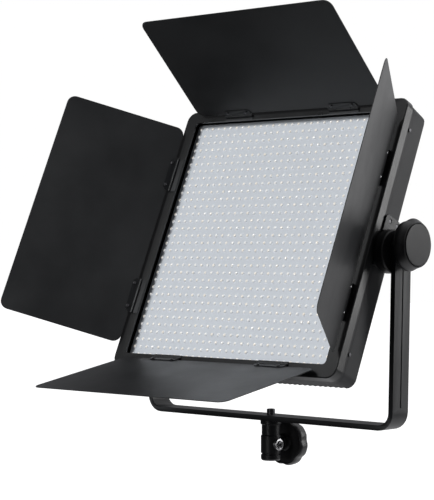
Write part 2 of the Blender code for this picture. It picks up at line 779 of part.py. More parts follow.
def bracket_mesh(reach, look, frame):
    """The fixed half: a plate on the bezel, two end knuckles and the pin between them."""
    low = BEZEL_FRONT - HINGE_Y - GAP
    floor = (low - LEAF_PLATE, low)
    base = box(
        "bracket",
        (-reach, -HINGE_HALF, floor[0]),
        (-2.2 * MM, HINGE_HALF, floor[1]),
        look,
        frame,
    )
    for side in (-1, 1):
        inner, outer = KNUCKLE_SPLIT + GAP, HINGE_HALF
        near, far = sorted((side * inner, side * outer))
        tongue = box(
            "tongue",
            (-3 * MM, near + HAIR, floor[0] + HAIR),
            (0.8 * MM, far - HAIR, floor[1] - HAIR),
            look,
            frame,
        )
        combine(base, tongue, "UNION")
        knuckle = cylinder("knuckle", KNUCKLE_RADIUS, (0, near, 0), (0, far, 0), look, frame, 14)
        combine(base, knuckle, "UNION")
    pin = cylinder(
        "pin", PIN_RADIUS, (0, -HINGE_HALF + 2 * MM, 0), (0, HINGE_HALF - 2 * MM, 0), look, frame, 10
    )
    combine(base, pin, "UNION")
    return baked("hinge_bracket_body", base, look)


def leaf_plate_mesh(look, frame):
    """The moving half: a plate with angled ends, two rivets and the middle knuckle."""
    outline = [
        (2.2 * MM, -HINGE_HALF),
        (6 * MM, -HINGE_HALF),
        (LEAF_PLATE_REACH, -HINGE_HALF + 4 * MM),
        (LEAF_PLATE_REACH, HINGE_HALF - 4 * MM),
        (6 * MM, HINGE_HALF),
        (2.2 * MM, HINGE_HALF),
    ]
    base = plate("leaf_plate", [outline], LEAF_PLATE, look, frame)
    for side in (-1, 1):
        place = (RIVET_PLACE[0], side * RIVET_PLACE[1])
        rivet = cylinder("rivet", 1.9 * MM, (*place, -1.1 * MM), (*place, 0), look, frame, 12)
        combine(base, rivet, "UNION")
    knuckle = cylinder(
        "knuckle", KNUCKLE_RADIUS, (0, -KNUCKLE_SPLIT, 0), (0, KNUCKLE_SPLIT, 0), look, frame, 14
    )
    combine(base, knuckle, "UNION")
    neck = box(
        "neck",
        (1.1 * MM, -KNUCKLE_SPLIT + HAIR, -LEAF_PLATE / 2 + HAIR),
        (3 * MM, KNUCKLE_SPLIT - HAIR, LEAF_PLATE / 2 - HAIR),
        look,
        frame,
    )
    combine(base, neck, "UNION")
    end = KNUCKLE_SPLIT + 2 * MM
    bore = cylinder("bore", PIN_RADIUS + GAP, (0, -end, 0), (0, end, 0), look, frame, 14)
    combine(base, bore, "DIFFERENCE")
    return baked("hinge_leaf_body", base, look)


def make_doors(looks, frame):
    """Four doors, each with two hinges whose fixed halves stand on the bezel."""
    moving = leaf_plate_mesh(looks["black"], None)
    side_bracket = bracket_mesh(SIDE_BRACKET_REACH, looks["black"], None)
    end_bracket = bracket_mesh(END_BRACKET_REACH, looks["black"], None)
    doors = (
        ("left", (-SIDE_HINGE_X, 0), SIDE_DOOR, side_bracket),
        ("right", (SIDE_HINGE_X, 0), SIDE_DOOR, side_bracket),
        ("top", (0, END_HINGE_Z), END_DOOR, end_bracket),
        ("bottom", (0, -END_HINGE_Z), END_DOOR, end_bracket),
    )
    for name, place, (length, half_width), fixed in doors:
        away = Vector((place[0], 0, place[1])).normalized()
        back = Vector((0, 1, 0))
        turn = axes_to_euler(away, back.cross(away), back)
        line = empty(f"hinge_line_{name}", frame, (place[0], HINGE_Y, place[1]), turn)
        axis = empty(
            f"door_axis_{name}", line, (0, 0, 0), (0, math.radians(DOOR_ANGLES[name]), 0)
        )
        outline = rounded_rectangle((length - DOOR_START) / 2, half_width, DOOR_CORNER, 6)
        middle = ((length + DOOR_START) / 2, 0, LEAF_PLATE / 2 + GAP + DOOR_THICKNESS / 2)
        plate(f"door_{name}", [outline], DOOR_THICKNESS, looks["door"], axis, middle)
        for index, along in enumerate(HINGE_PLACES):
            for half, mesh, holder in (("bracket", fixed, line), ("leaf", moving, axis)):
                hinge_half = f"hinge_{half}_{name}_{index + 1}"
                from_mesh(hinge_half, mesh, looks["black"], holder, (0, along, 0))


def axes_to_euler(x_axis, y_axis, z_axis):
    """The rotation that takes X, Y and Z to these three directions."""
    return Matrix((x_axis, y_axis, z_axis)).transposed().to_euler()


# Layout of the back, as (x, z) in the panel frame



def main():
    looks = {
        "black": material("satin_black_metal", (0.02, 0.021, 0.023), 0.45),
        "door": material("matt_black_sheet", (0.026, 0.027, 0.028), 0.55),
        "bezel": material("grey_black_casing", (0.045, 0.047, 0.05), 0.5),
        "dark": material("black_plastic", (0.012, 0.012, 0.013), 0.5),
        "gloss": material("gloss_black_plastic", (0.01, 0.01, 0.012), 0.15),
        "rubber": material("dark_rubberised_plastic", (0.03, 0.031, 0.033), 0.55),
        "steel": material("bright_steel", (0.6, 0.6, 0.6), 0.3, 1.0),
        "alloy": material("aluminium", (0.5, 0.5, 0.52), 0.4, 1.0),
        "white": material("white_led_board", (0.8, 0.84, 0.88), 0.5),
        "green": material("circuit_board", (0.02, 0.12, 0.05), 0.4),
    }
    make_yoke(looks["black"])
    make_adapter(looks["black"], looks["steel"])
    make_yoke_bolt(looks["steel"])
    make_stand_lock(looks["rubber"], looks["steel"])
    make_tilt_knobs(looks["rubber"], looks["dark"], looks["steel"])
    head = empty("head_axis", None, (0, 0, TILT_AXIS_Z), (-math.radians(HEAD_TILT), 0, 0))
    panel = empty("panel_frame", head, (0, -PANEL_FROM_AXIS, 0))
    make_bezel(looks["bezel"], panel)
    make_housing(looks["bezel"], panel)
    make_boards(looks["white"], looks["alloy"], looks["green"], panel)
    make_back_fittings(looks, panel)
    make_pivots(looks, panel)
    make_housing_screws(looks["steel"], panel)
    make_doors(looks, panel)


for thing in list(bpy.data.objects):
    bpy.data.objects.remove(thing, do_unlink=True)
PARTS = collection("led_panel_light")
CUTTERS = collection("cutters")
main()
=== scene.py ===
"""The looks of an LED panel light with four barn doors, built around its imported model."""
import json
import math

import bmesh
import bpy
import numpy as np
from mathutils import Matrix, Vector

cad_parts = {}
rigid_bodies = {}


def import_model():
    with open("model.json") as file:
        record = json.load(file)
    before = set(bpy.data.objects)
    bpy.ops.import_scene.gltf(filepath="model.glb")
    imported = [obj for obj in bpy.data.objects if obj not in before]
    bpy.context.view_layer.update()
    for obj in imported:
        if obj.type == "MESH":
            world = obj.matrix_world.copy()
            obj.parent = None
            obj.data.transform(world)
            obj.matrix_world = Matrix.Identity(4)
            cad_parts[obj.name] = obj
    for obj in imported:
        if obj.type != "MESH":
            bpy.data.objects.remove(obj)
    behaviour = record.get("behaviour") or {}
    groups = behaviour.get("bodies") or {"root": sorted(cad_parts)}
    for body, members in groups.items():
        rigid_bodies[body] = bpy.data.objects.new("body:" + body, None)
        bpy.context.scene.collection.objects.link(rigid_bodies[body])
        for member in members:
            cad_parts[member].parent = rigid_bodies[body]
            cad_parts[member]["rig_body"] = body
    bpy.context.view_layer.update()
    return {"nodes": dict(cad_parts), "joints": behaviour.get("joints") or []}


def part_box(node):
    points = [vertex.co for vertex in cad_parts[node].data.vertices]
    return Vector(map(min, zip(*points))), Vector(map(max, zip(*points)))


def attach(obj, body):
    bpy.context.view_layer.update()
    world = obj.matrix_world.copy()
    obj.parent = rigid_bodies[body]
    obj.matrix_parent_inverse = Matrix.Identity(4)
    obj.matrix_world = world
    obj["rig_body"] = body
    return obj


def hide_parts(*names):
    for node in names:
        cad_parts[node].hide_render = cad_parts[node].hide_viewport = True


MM = 0.001
UP = Vector((0, 0, 1))

# The head at rest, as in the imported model
HEAD_TILT = math.radians(23.88)
PANEL_FROM_AXIS = 18 * MM

# How meshes are finished: faces over this area are shaded flat, and edges over this angle rounded
FLAT_AREA = 150 * MM**2
SHARPEST = math.radians(28)
SAME_PLANE = math.radians(0.8)
SAME_POINT = 0.003 * MM

# The LED field, in the panel's own plane
LED_COLUMNS = 32
LED_ROWS = 32
LED_PITCH_X = 10.65 * MM
LED_PITCH_Z = 10.44 * MM
LED_RADIUS = 2.2 * MM
LED_HEIGHT = 2.0 * MM
LED_SIDES = 12
LED_SEED = 7
CHECKER_SHARE = 0.65

# A dome's centre tone starts this far up it and is full this much higher
CENTRE_FROM = 0.2
CENTRE_OVER = 0.5

# The doors: where rivets and screws sit from the hinge line, and either side of a hinge's middle
RIVET_AWAY = 7 * MM
RIVET_ASIDE = 16 * MM
RIVET_RADIUS = 1.7 * MM
DOOR_SCREW_RADIUS = 1.9 * MM

# The back
CASE_SCREW_RADIUS = 3.2 * MM
CASE_SCREW_INSET = 9 * MM
LOUVRES = 12
LOUVRE_PITCH = 10.5 * MM
LOUVRE_HEIGHT = 3.6 * MM
LOUVRE_DEPTH = 1.3 * MM
LOUVRE_SINK = 0.1 * MM
LOUVRES_FROM_PLATE = 12 * MM
LOUVRES_FROM_EDGE = 18 * MM
LOUVRES_FROM_FOOT = 8 * MM
DIAL_MARKS = 11
DIAL_SWEEP = 270
DIAL_GAP = 4.5 * MM
DIAL_MARK_RADIUS = 0.7 * MM
DIAL_MARK_GROWTH = 0.06 * MM
LAMP_RADIUS = 1.8 * MM
LAMP_GAP = 9 * MM
CONTACT_X = (-12 * MM, 0, 12 * MM)
CONTACT_FROM_TOP = 18 * MM
PLATE_THICKNESS = 5 * MM

# Knobs, each with notches round its rim, one of them at the given turn from straight up
KNOB_SIDES = 96
KNOB_NOTCHES = 4
KNOB_NOTCH_DEPTH = 2.4 * MM
KNOB_NOTCH_TURN = math.radians(105)
LOCK_KNOB_SIDES = 112
LOCK_KNOB_THICKNESS = 17 * MM
LOCK_NOTCHES = 7
LOCK_NOTCH_DEPTH = 1.8 * MM
LOCK_NOTCH_TURN = math.radians(185)

# Turned profiles as (radius, height), over the LED's size and over a fastener's radius
LED_DOME = ((1.08, 0), (1.08, 0.16), (1, 0.24), (0.93, 0.5), (0.74, 0.76), (0.42, 0.94), (0.12, 1))
RIVET_HEAD = ((1, -0.03), (0.97, 0.09), (0.8, 0.2), (0.45, 0.28), (0.1, 0.3))
SOCKET_HEAD = (
    (1, -0.03), (1, 0.22), (0.9, 0.4), (0.68, 0.5),
    (0.48, 0.52), (0.42, 0.46), (0.38, 0.12), (0.02, 0.08),
)
FLAT_HEAD = (
    (1, -0.03), (1, 0.08), (0.9, 0.15), (0.68, 0.18),
    (0.48, 0.18), (0.42, 0.15), (0.38, 0.03), (0.02, 0.02),
)

# Turned profiles in millimetres. The ring's outer and inner walls go on down to its root
CONTACT_PIN = ((2.2, -0.1), (2.2, 0.4), (1.5, 0.6), (1.5, 3.2), (1.2, 3.8), (0.3, 4))
CLAMP_RING_WALLS = (4.4, 7.6)
CLAMP_RING_RIM = ((7.6, 0.9), (7.2, 1.5), (5.6, 1.6), (4.8, 1.0))
CLAMP_SCREW_RADIUS = 4.3 * MM

# The camera, as a place, two turns and a lens
CAMERA_PLACE = (1.4178, -1.6539, 0.2691)
CAMERA_TURN = math.radians(42.40)
CAMERA_DROP = math.radians(0.087)
CAMERA_LENS = 123.84
CAMERA_REACH = 60

# The stage, and the softboxes as place, target, size and power
FLOOR_Z = -0.25
STAGE_SIZE = 14
LIGHTS = {
    "key_softbox": ((-0.5, -2.7, 2.0), (0, 0, 0.3), (1.0, 1.0), 62),
    "front_softbox": ((0.1, -3.0, 0.5), (0, 0, 0.25), (0.5, 1.2), 12),
    "rim_softbox": ((2.3, 2.3, 0.9), (0.1, 0, 0.3), (1.2, 1.8), 36),
    "back_softbox": ((-0.4, 3.0, 0.8), (0, 0, 0.5), (1.8, 1.8), 5),
}

# The world's light: steps over a dim ground, each a direction, where its tone starts and is full
# as a cosine from that direction, and the tone
WORLD_DIM = (0.13, 0.13, 0.135)
WORLD_STEPS = (
    ((-0.674, 0.738, 0), 0.0, 0.6, (0.22, 0.22, 0.23)),
    ((0, 0, -1), 0.0, 0.12, (0.03, 0.03, 0.032)),
    ((0, 0.5, -0.86), 0.4, 0.85, (0.95, 0.95, 0.97)),
    ((0.1, 0.45, 0.88), 0.55, 0.97, (0.8, 0.8, 0.82)),
)

for leftover in list(bpy.data.objects):
    bpy.data.objects.remove(leftover)
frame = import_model()


# Reading the frame


def joint(name):
    """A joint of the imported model, by name."""
    return next(j for j in frame["joints"] if j["name"] == name)


def points_of(node, place=None):
    """A CAD node's vertices, in the row frame or in the given one."""
    points = np.array([v.co for v in frame["nodes"][node].data.vertices])
    if place is None:
        return points
    inverse = np.array(place.inverted())
    return points @ inverse[:3, :3].T + inverse[:3, 3]


def local_box(node, place):
    """The lowest and highest corners of a CAD node in the given frame."""
    points = points_of(node, place)
    return Vector(points.min(0)), Vector(points.max(0))


def head_frame():
    """The panel's frame: X to the right, Y to the back, Z up the panel, on the LED plane."""
    axis = Matrix.Translation(joint("head_tilt")["pos_m"])
    tilt = Matrix.Rotation(-HEAD_TILT, 4, "X")
    return axis @ tilt @ Matrix.Translation((0, -PANEL_FROM_AXIS, 0))


def axes_frame(origin, x_axis, y_axis, z_axis):
    """A frame from its origin and its three directions."""
    turn = Matrix((x_axis, y_axis, z_axis)).transposed().to_4x4()
    return Matrix.Translation(origin) @ turn


def axle_frame(joint_name, forward):
    """A frame whose Z runs along a joint's axis, towards the given direction."""
    hinge = joint(joint_name)
    z_axis = Vector(hinge["axis"]).normalized()
    if z_axis.dot(forward) < 0:
        z_axis = -z_axis
    side = UP if abs(z_axis.z) < 0.9 else Vector((1, 0, 0))
    x_axis = (side - z_axis * side.dot(z_axis)).normalized()
    return axes_frame(hinge["pos_m"], x_axis, z_axis.cross(x_axis), z_axis)


def door_frame(name):
    """A door's frame: X away from its hinge, Y along the hinge, Z out of its outer side."""
    hinge = joint(f"door_{name}_hinge")
    origin = Vector(hinge["pos_m"])
    points = points_of(f"door_{name}")
    middle = points.mean(0)
    normal = Vector(np.linalg.svd(points - middle)[2][2])
    to_door = Vector(middle) - origin
    if normal.dot(to_door) < 0:
        normal = -normal
    along = Vector(hinge["axis"]).normalized()
    away = along.cross(normal).normalized()
    if away.dot(to_door) < 0:
        away = -away
    return axes_frame(origin, away, normal.cross(away), normal)


HEAD = head_frame()


# Materials


def add(tree, kind, **values):
    """A node with its inputs and properties set by name."""
    node = tree.nodes.new(kind)
    for name, value in values.items():
        label = name.replace("_", " ")
        if label in node.inputs:
            node.inputs[label].default_value = value
        else:
            setattr(node, name, value)
    return node


def mapped(tree, value, before, after):
    """The value moved from one range to another."""
    node = add(tree, "ShaderNodeMapRange")
    node.inputs["From Min"].default_value, node.inputs["From Max"].default_value = before
    node.inputs["To Min"].default_value, node.inputs["To Max"].default_value = after
    tree.links.new(value, node.inputs["Value"])
    return node.outputs["Result"]


def finish(name, colour, roughness, metallic=0.0, specular=0.5, grain=1400, bump=0.12,
           mottle=0.12, spread=0.06, wear=None, wear_share=0.5, coat=0.0, stretch=None):
    """A painted, moulded or metal surface: fine grain, a slow change of tone, worn edges."""
    look = bpy.data.materials.new(name)
    look.use_nodes = True
    tree = look.node_tree
    link = tree.links.new
    shader = tree.nodes["Principled BSDF"]
    shader.inputs["Metallic"].default_value = metallic
    shader.inputs["Specular IOR Level"].default_value = specular
    shader.inputs["Coat Weight"].default_value = coat
    shader.inputs["Coat Roughness"].default_value = 0.15
    coords = add(tree, "ShaderNodeTexCoord").outputs["Object"]
    if stretch:
        spread_out = add(tree, "ShaderNodeMapping", Scale=stretch)
        link(coords, spread_out.inputs["Vector"])
        coords = spread_out.outputs["Vector"]
    fine = add(tree, "ShaderNodeTexNoise", Scale=grain, Detail=3.0, Roughness=0.6)
    slow = add(tree, "ShaderNodeTexNoise", Scale=11.0, Detail=4.0, Roughness=0.55)
    for noise in (fine, slow):
        link(coords, noise.inputs["Vector"])
    relief = add(tree, "ShaderNodeBump", Strength=bump, Distance=0.1 * MM)
    link(fine.outputs["Fac"], relief.inputs["Height"])
    link(relief.outputs["Normal"], shader.inputs["Normal"])
    dull = mapped(tree, slow.outputs["Fac"], (0.3, 0.7), (roughness - spread, roughness + spread))
    link(dull, shader.inputs["Roughness"])
    tone = add(tree, "ShaderNodeMix", data_type="RGBA")
    tone.inputs["A"].default_value = (*[c * (1 - mottle) for c in colour], 1)
    tone.inputs["B"].default_value = (*[min(c * (1 + mottle), 1) for c in colour], 1)
    both = add(tree, "ShaderNodeMath", operation="ADD")
    half = add(tree, "ShaderNodeMath", operation="MULTIPLY")
    half.inputs[1].default_value = 0.5
    link(slow.outputs["Fac"], both.inputs[0])
    link(fine.outputs["Fac"], both.inputs[1])
    link(both.outputs["Value"], half.inputs[0])
    link(half.outputs["Value"], tone.inputs["Factor"])
    result = tone.outputs["Result"]
    if wear:
        convex = add(tree, "ShaderNodeNewGeometry").outputs["Pointiness"]
        edge = mapped(tree, convex, (0.53, 0.66), (0, wear_share))
        broken = add(tree, "ShaderNodeMath", operation="MULTIPLY")
        link(edge, broken.inputs[0])
        link(slow.outputs["Fac"], broken.inputs[1])
        worn = add(tree, "ShaderNodeMix", data_type="RGBA")
        worn.inputs["B"].default_value = (*wear, 1)
        link(result, worn.inputs["A"])
        link(broken.outputs["Value"], worn.inputs["Factor"])
        result = worn.outputs["Result"]
    link(result, shader.inputs["Base Color"])
    return look


def led_look_with_painted_glow():
    """Milky domes: a warm phosphor centre, a pale rim and small differences between LEDs, with a
    faint painted glow on the unlit LEDs.
    """
    look = bpy.data.materials.new("led_dome")
    look.use_nodes = True
    tree = look.node_tree
    link = tree.links.new
    shader = tree.nodes["Principled BSDF"]
    shader.inputs["Roughness"].default_value = 0.22
    shader.inputs["Coat Weight"].default_value = 0.6
    centre = add(tree, "ShaderNodeAttribute", attribute_name="centre")
    tint = add(tree, "ShaderNodeAttribute", attribute_name="tint")
    warm = add(tree, "ShaderNodeMix", data_type="RGBA")
    warm.inputs["A"].default_value = (0.90, 0.91, 0.90, 1)
    warm.inputs["B"].default_value = (0.92, 0.87, 0.78, 1)
    link(tint.outputs["Fac"], warm.inputs["Factor"])
    dome = add(tree, "ShaderNodeMix", data_type="RGBA")
    dome.inputs["A"].default_value = (0.76, 0.80, 0.85, 1)
    link(warm.outputs["Result"], dome.inputs["B"])
    link(centre.outputs["Fac"], dome.inputs["Factor"])
    link(dome.outputs["Result"], shader.inputs["Base Color"])
    # Painted light: the domes glow faintly in their own colour though the LEDs are off, so they
    # stay bright where the board is in shade
    link(dome.outputs["Result"], shader.inputs["Emission Color"])
    shader.inputs["Emission Strength"].default_value = 0.16
    return look


SCUFF = (0.16, 0.165, 0.17)
LOOKS = {
    "satin_black_metal": finish("satin_black_metal_look", (0.004, 0.0045, 0.0055), 0.38, 0.0, 0.38,
                                grain=1500, bump=0.2, wear=SCUFF),
    "door_sheet_black": finish("door_sheet_black_look", (0.010, 0.0105, 0.0115), 0.38, 0.0, 0.36,
                               grain=1900, bump=0.16, mottle=0.18, wear=SCUFF, wear_share=0.8),
    "bezel_black": finish("bezel_black_look", (0.010, 0.0105, 0.011), 0.32, 0.0, 0.5,
                          grain=1700, bump=0.12, wear=SCUFF, wear_share=0.35),
    "casing_black": finish("casing_black_look", (0.011, 0.0115, 0.013), 0.5, 0.0, 0.3,
                           grain=1200, bump=0.28, wear=SCUFF, wear_share=0.3),
    "black_plastic": finish("black_plastic_look", (0.006, 0.006, 0.0065), 0.4, 0.0, 0.35,
                            grain=1100, bump=0.15),
    "soft_black_plastic": finish("soft_black_plastic_look", (0.006, 0.006, 0.007), 0.42, 0.0, 0.6,
                                 grain=1300, bump=0.25, mottle=0.15),
    "knob_cap_plastic": finish("knob_cap_plastic_look", (0.013, 0.013, 0.0145), 0.46, 0.0, 0.4,
                               grain=1300, bump=0.14),
    "gloss_black": finish("gloss_black_look", (0.006, 0.006, 0.007), 0.09, 0.0, 0.5,
                          grain=500, bump=0.01, spread=0.03, coat=0.5),
    "bright_steel": finish("bright_steel_look", (0.72, 0.72, 0.73), 0.2, 1.0,
                           grain=900, bump=0.06, mottle=0.06),
    "dark_steel": finish("dark_steel_look", (0.07, 0.07, 0.075), 0.34, 0.8,
                         grain=1200, bump=0.1, wear=(0.4, 0.4, 0.41), wear_share=0.4),
    "bare_aluminium": finish("bare_aluminium_look", (0.5, 0.5, 0.52), 0.4, 1.0,
                             grain=500, bump=0.08, stretch=(1, 1, 0.04)),
    "white_led_board": finish("white_led_board_look", (0.66, 0.70, 0.75), 0.5, 0.0, 0.4,
                              grain=900, bump=0.08, mottle=0.03),
    "circuit_board": finish("circuit_board_look", (0.02, 0.12, 0.05), 0.35, 0.0, 0.5,
                            grain=400, bump=0.05, coat=0.3),
    "led_dome": led_look_with_painted_glow(),
}


# Making meshes


def new_piece(name, shape, look, body, nodes=(), angle=38, weighted=True):
    """Ends a bmesh as a piece that rides on a body and may stand for CAD nodes."""
    bmesh.ops.recalc_face_normals(shape, faces=shape.faces)
    mesh = bpy.data.meshes.new(name)
    shape.to_mesh(mesh)
    shape.free()
    obj = bpy.data.objects.new(name, mesh)
    bpy.context.scene.collection.objects.link(obj)
    mesh.materials.append(LOOKS[look])
    mesh.shade_smooth()
    for face in mesh.polygons:
        face.use_smooth = face.area < FLAT_AREA
    mesh.set_sharp_from_angle(angle=math.radians(angle))
    if weighted:
        normals = obj.modifiers.new("even_shading", "WEIGHTED_NORMAL")
        normals.keep_sharp = True
    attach(obj, body)
    if nodes:
        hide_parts(*nodes)


def cad_shape(node):
    """A CAD node's mesh with its split corners joined and its flat faces whole."""
    shape = bmesh.new()
    shape.from_mesh(frame["nodes"][node].data)
    bmesh.ops.remove_doubles(shape, verts=shape.verts, dist=SAME_POINT)
    bmesh.ops.dissolve_limit(
        shape, angle_limit=SAME_PLANE, verts=shape.verts, edges=shape.edges, delimit=set()
    )
    return shape


def round_edges(shape, edges, width, segments=2):
    bmesh.ops.bevel(
        shape, geom=edges, offset=width, offset_type="OFFSET", segments=segments,
        profile=0.5, affect="EDGES", clamp_overlap=True,
    )


def refine(node, look, width, segments=2):
    """A CAD node as a finished piece, its sharp edges rounded."""
    body = frame["nodes"][node]["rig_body"]
    shape = cad_shape(node)
    sharp = [e for e in shape.edges if len(e.link_faces) == 2 and e.calc_face_angle(0) > SHARPEST]
    round_edges(shape, sharp, width, segments)
    new_piece(f"{node}_finished", shape, look, body, [node])


def add_rings(shape, rings, place, close_start=True, close_end=True):
    """A skin over closed rings of points, with its ends filled."""
    loops = [[shape.verts.new(place @ Vector(point)) for point in ring] for ring in rings]
    count = len(loops[0])
    for low, high in zip(loops, loops[1:]):
        for i in range(count):
            j = (i + 1) % count
            shape.faces.new((low[i], low[j], high[j], high[i]))
    if close_start:
        shape.faces.new(loops[0][::-1])
    if close_end:
        shape.faces.new(loops[-1])
    return loops


def circle(radius, height, steps, shape_of=None):
    """A ring about Z, whose radius may change with the turn."""
    ring = []
    for step in range(steps):
        turn = 2 * math.pi * step / steps
        here = shape_of(radius, turn) if shape_of else radius
        ring.append((here * math.cos(turn), here * math.sin(turn), height))
    return ring


def add_lathe(shape, profile, place, steps):
    """A turned solid from (radius, height) pairs, closed at both ends."""
    add_rings(shape, [circle(r, h, steps) for r, h in profile], place)


def scaled(profile, size):
    """A (radius, height) profile at the given size."""
    return [(radius * size, height * size) for radius, height in profile]


def add_block(shape, low, high, place, width):
    """A box with rounded edges, between two corners of the given frame."""
    low, high = Vector(low), Vector(high)
    scale = Matrix.Diagonal((*(high - low), 1))
    centre = Matrix.Translation((low + high) / 2)
    made = bmesh.ops.create_cube(shape, size=1, matrix=place @ centre @ scale)
    round_edges(shape, list({e for v in made["verts"] for e in v.link_edges}), width)


def smooth_path(pairs, steps):
    """A Catmull-Rom curve through (a, b, ...) tuples."""
    points = np.array(pairs, float)
    padded = np.vstack([2 * points[0] - points[1], points, 2 * points[-1] - points[-2]])
    curve = []
    for i in range(len(points) - 1):
        p0, p1, p2, p3 = padded[i : i + 4]
        for t in np.arange(steps) / steps:
            curve.append(
                0.5 * (2 * p1 + (p2 - p0) * t + (2 * p0 - 5 * p1 + 4 * p2 - p3) * t**2
                       + (3 * p1 - p0 - 3 * p2 + p3) * t**3)
            )
    curve.append(points[-1])
    return [tuple(float(v) for v in point) for point in curve]


# The LED face


def make_leds():
    """Every LED: a short collar and a dome on the board's front, warmer on every other one."""
    front = local_box("led_board", HEAD)[0].y
    shape = bmesh.new()
    centre = shape.verts.layers.float.new("centre")
    tint = shape.verts.layers.float.new("tint")
    rings = [circle(r * LED_RADIUS, h * LED_HEIGHT, LED_SIDES) for r, h in LED_DOME]
    shades = np.random.default_rng(LED_SEED).random((LED_COLUMNS, LED_ROWS))
    for column in range(LED_COLUMNS):
        for row in range(LED_ROWS):
            x = (column - (LED_COLUMNS - 1) / 2) * LED_PITCH_X
            z = (row - (LED_ROWS - 1) / 2) * LED_PITCH_Z
            place = HEAD @ Matrix.Translation((x, front, z)) @ Matrix.Rotation(math.pi / 2, 4, "X")
            loops = add_rings(shape, rings, place, close_start=False)
            checker = (column + row) % 2
            warm = CHECKER_SHARE * checker + (1 - CHECKER_SHARE) * shades[column, row]
            for (_, height), loop in zip(LED_DOME, loops):
                for vert in loop:
                    vert[centre] = min(1.0, max(0.0, (height - CENTRE_FROM) / CENTRE_OVER))
                    vert[tint] = warm
    new_piece("led_domes", shape, "led_dome", "head", weighted=False)


def make_board():
    refine("led_board", "white_led_board", 0.3 * MM)
    refine("heat_spreader", "bare_aluminium", 0.3 * MM)
    refine("driver_board", "circuit_board", 0.2 * MM)


# The casing


def make_casing():
    refine("front_bezel", "bezel_black", 0.5 * MM)
    refine("rear_housing", "casing_black", 0.35 * MM)
    for side in ("left", "right"):
        refine(f"side_plate_{side}", "satin_black_metal", 0.35 * MM)
        refine(f"pivot_boss_{side}", "black_plastic", 0.5 * MM)
        for index in (1, 2):
            refine(f"side_plate_screw_{side}_{index}", "dark_steel", 0.15 * MM)
        for level in ("upper", "lower"):
            refine(f"housing_screw_{side}_{level}", "dark_steel", 0.15 * MM)


def make_back():
    refine("display_window", "gloss_black", 0.15 * MM)
    refine("dc_inlet", "black_plastic", 0.2 * MM)
    refine("battery_plate", "black_plastic", 0.5 * MM)
    refine("power_rocker", "gloss_black", 0.5 * MM)
    refine("dimmer_knob", "soft_black_plastic", 0.3 * MM)
    for number in (1, 2, 3):
        refine(f"button_{number}", "soft_black_plastic", 0.2 * MM)
    make_back_details()


def behind(x, y, z):
    """A place in the panel frame whose Z points out of the back."""
    return HEAD @ Matrix.Translation((x, y, z)) @ Matrix.Rotation(-math.pi / 2, 4, "X")


def make_back_details():
    """Case screws, cooling louvres, the dimmer's scale, a pilot lamp and battery contacts."""
    points = points_of("rear_housing", HEAD)
    back = points[:, 1].max()
    flat = points[points[:, 1] > back - 0.1 * MM]
    half_x, half_z = flat[:, 0].max(), flat[:, 2].max()
    plate_low, plate_high = local_box("battery_plate", HEAD)
    add_case_screws(back, half_x - CASE_SCREW_INSET, half_z - CASE_SCREW_INSET)
    inner, outer = plate_high.x + LOUVRES_FROM_PLATE, half_x - LOUVRES_FROM_EDGE
    add_louvres(back, inner, outer, plate_low.z + LOUVRES_FROM_FOOT)
    add_marks(back)
    contacts = bmesh.new()
    for x in CONTACT_X:
        place = behind(x, plate_low.y + PLATE_THICKNESS, plate_high.z - CONTACT_FROM_TOP)
        add_lathe(contacts, scaled(CONTACT_PIN, MM), place, 20)
    new_piece("battery_contacts", contacts, "bright_steel", "head", weighted=False)


def add_case_screws(back, aside, above):
    """Screws at the back's four corners and halfway up its sides."""
    screws = bmesh.new()
    for x in (-1, 1):
        for z in (-1, 0, 1):
            head = behind(x * aside, back, z * above)
            add_lathe(screws, scaled(SOCKET_HEAD, CASE_SCREW_RADIUS), head, 24)
    new_piece("back_screws", screws, "dark_steel", "head", weighted=False)


def add_louvres(back, inner, outer, lowest):
    """A stack of thin raised ribs on each side of the battery plate."""
    louvres = bmesh.new()
    for side in (-1, 1):
        for step in range(LOUVRES):
            z = lowest + step * LOUVRE_PITCH
            left, right = sorted((side * inner, side * outer))
            low = (left, back - LOUVRE_SINK, z)
            high = (right, back + LOUVRE_DEPTH, z + LOUVRE_HEIGHT)
            add_block(louvres, low, high, HEAD, 0.6 * MM)
    new_piece("back_louvres", louvres, "casing_black", "head")


def add_marks(back):
    """Growing dots round the dimmer, and a pilot lamp over the power rocker."""
    marks = bmesh.new()
    low, high = local_box("dimmer_knob", HEAD)
    centre = (low + high) / 2
    reach = (high.x - low.x) / 2 + DIAL_GAP
    for step in range(DIAL_MARKS):
        turn = math.radians(DIAL_SWEEP * (step / (DIAL_MARKS - 1) - 0.5))
        place = behind(centre.x + reach * math.sin(turn), back, centre.z + reach * math.cos(turn))
        size = DIAL_MARK_RADIUS + DIAL_MARK_GROWTH * step
        add_lathe(marks, scaled(RIVET_HEAD, size), place, 12)
    low, high = local_box("power_rocker", HEAD)
    place = behind((low.x + high.x) / 2, back, high.z + LAMP_GAP)
    add_lathe(marks, scaled(RIVET_HEAD, LAMP_RADIUS), place, 16)
    new_piece("back_marks", marks, "white_led_board", "head", weighted=False)


# Barn doors


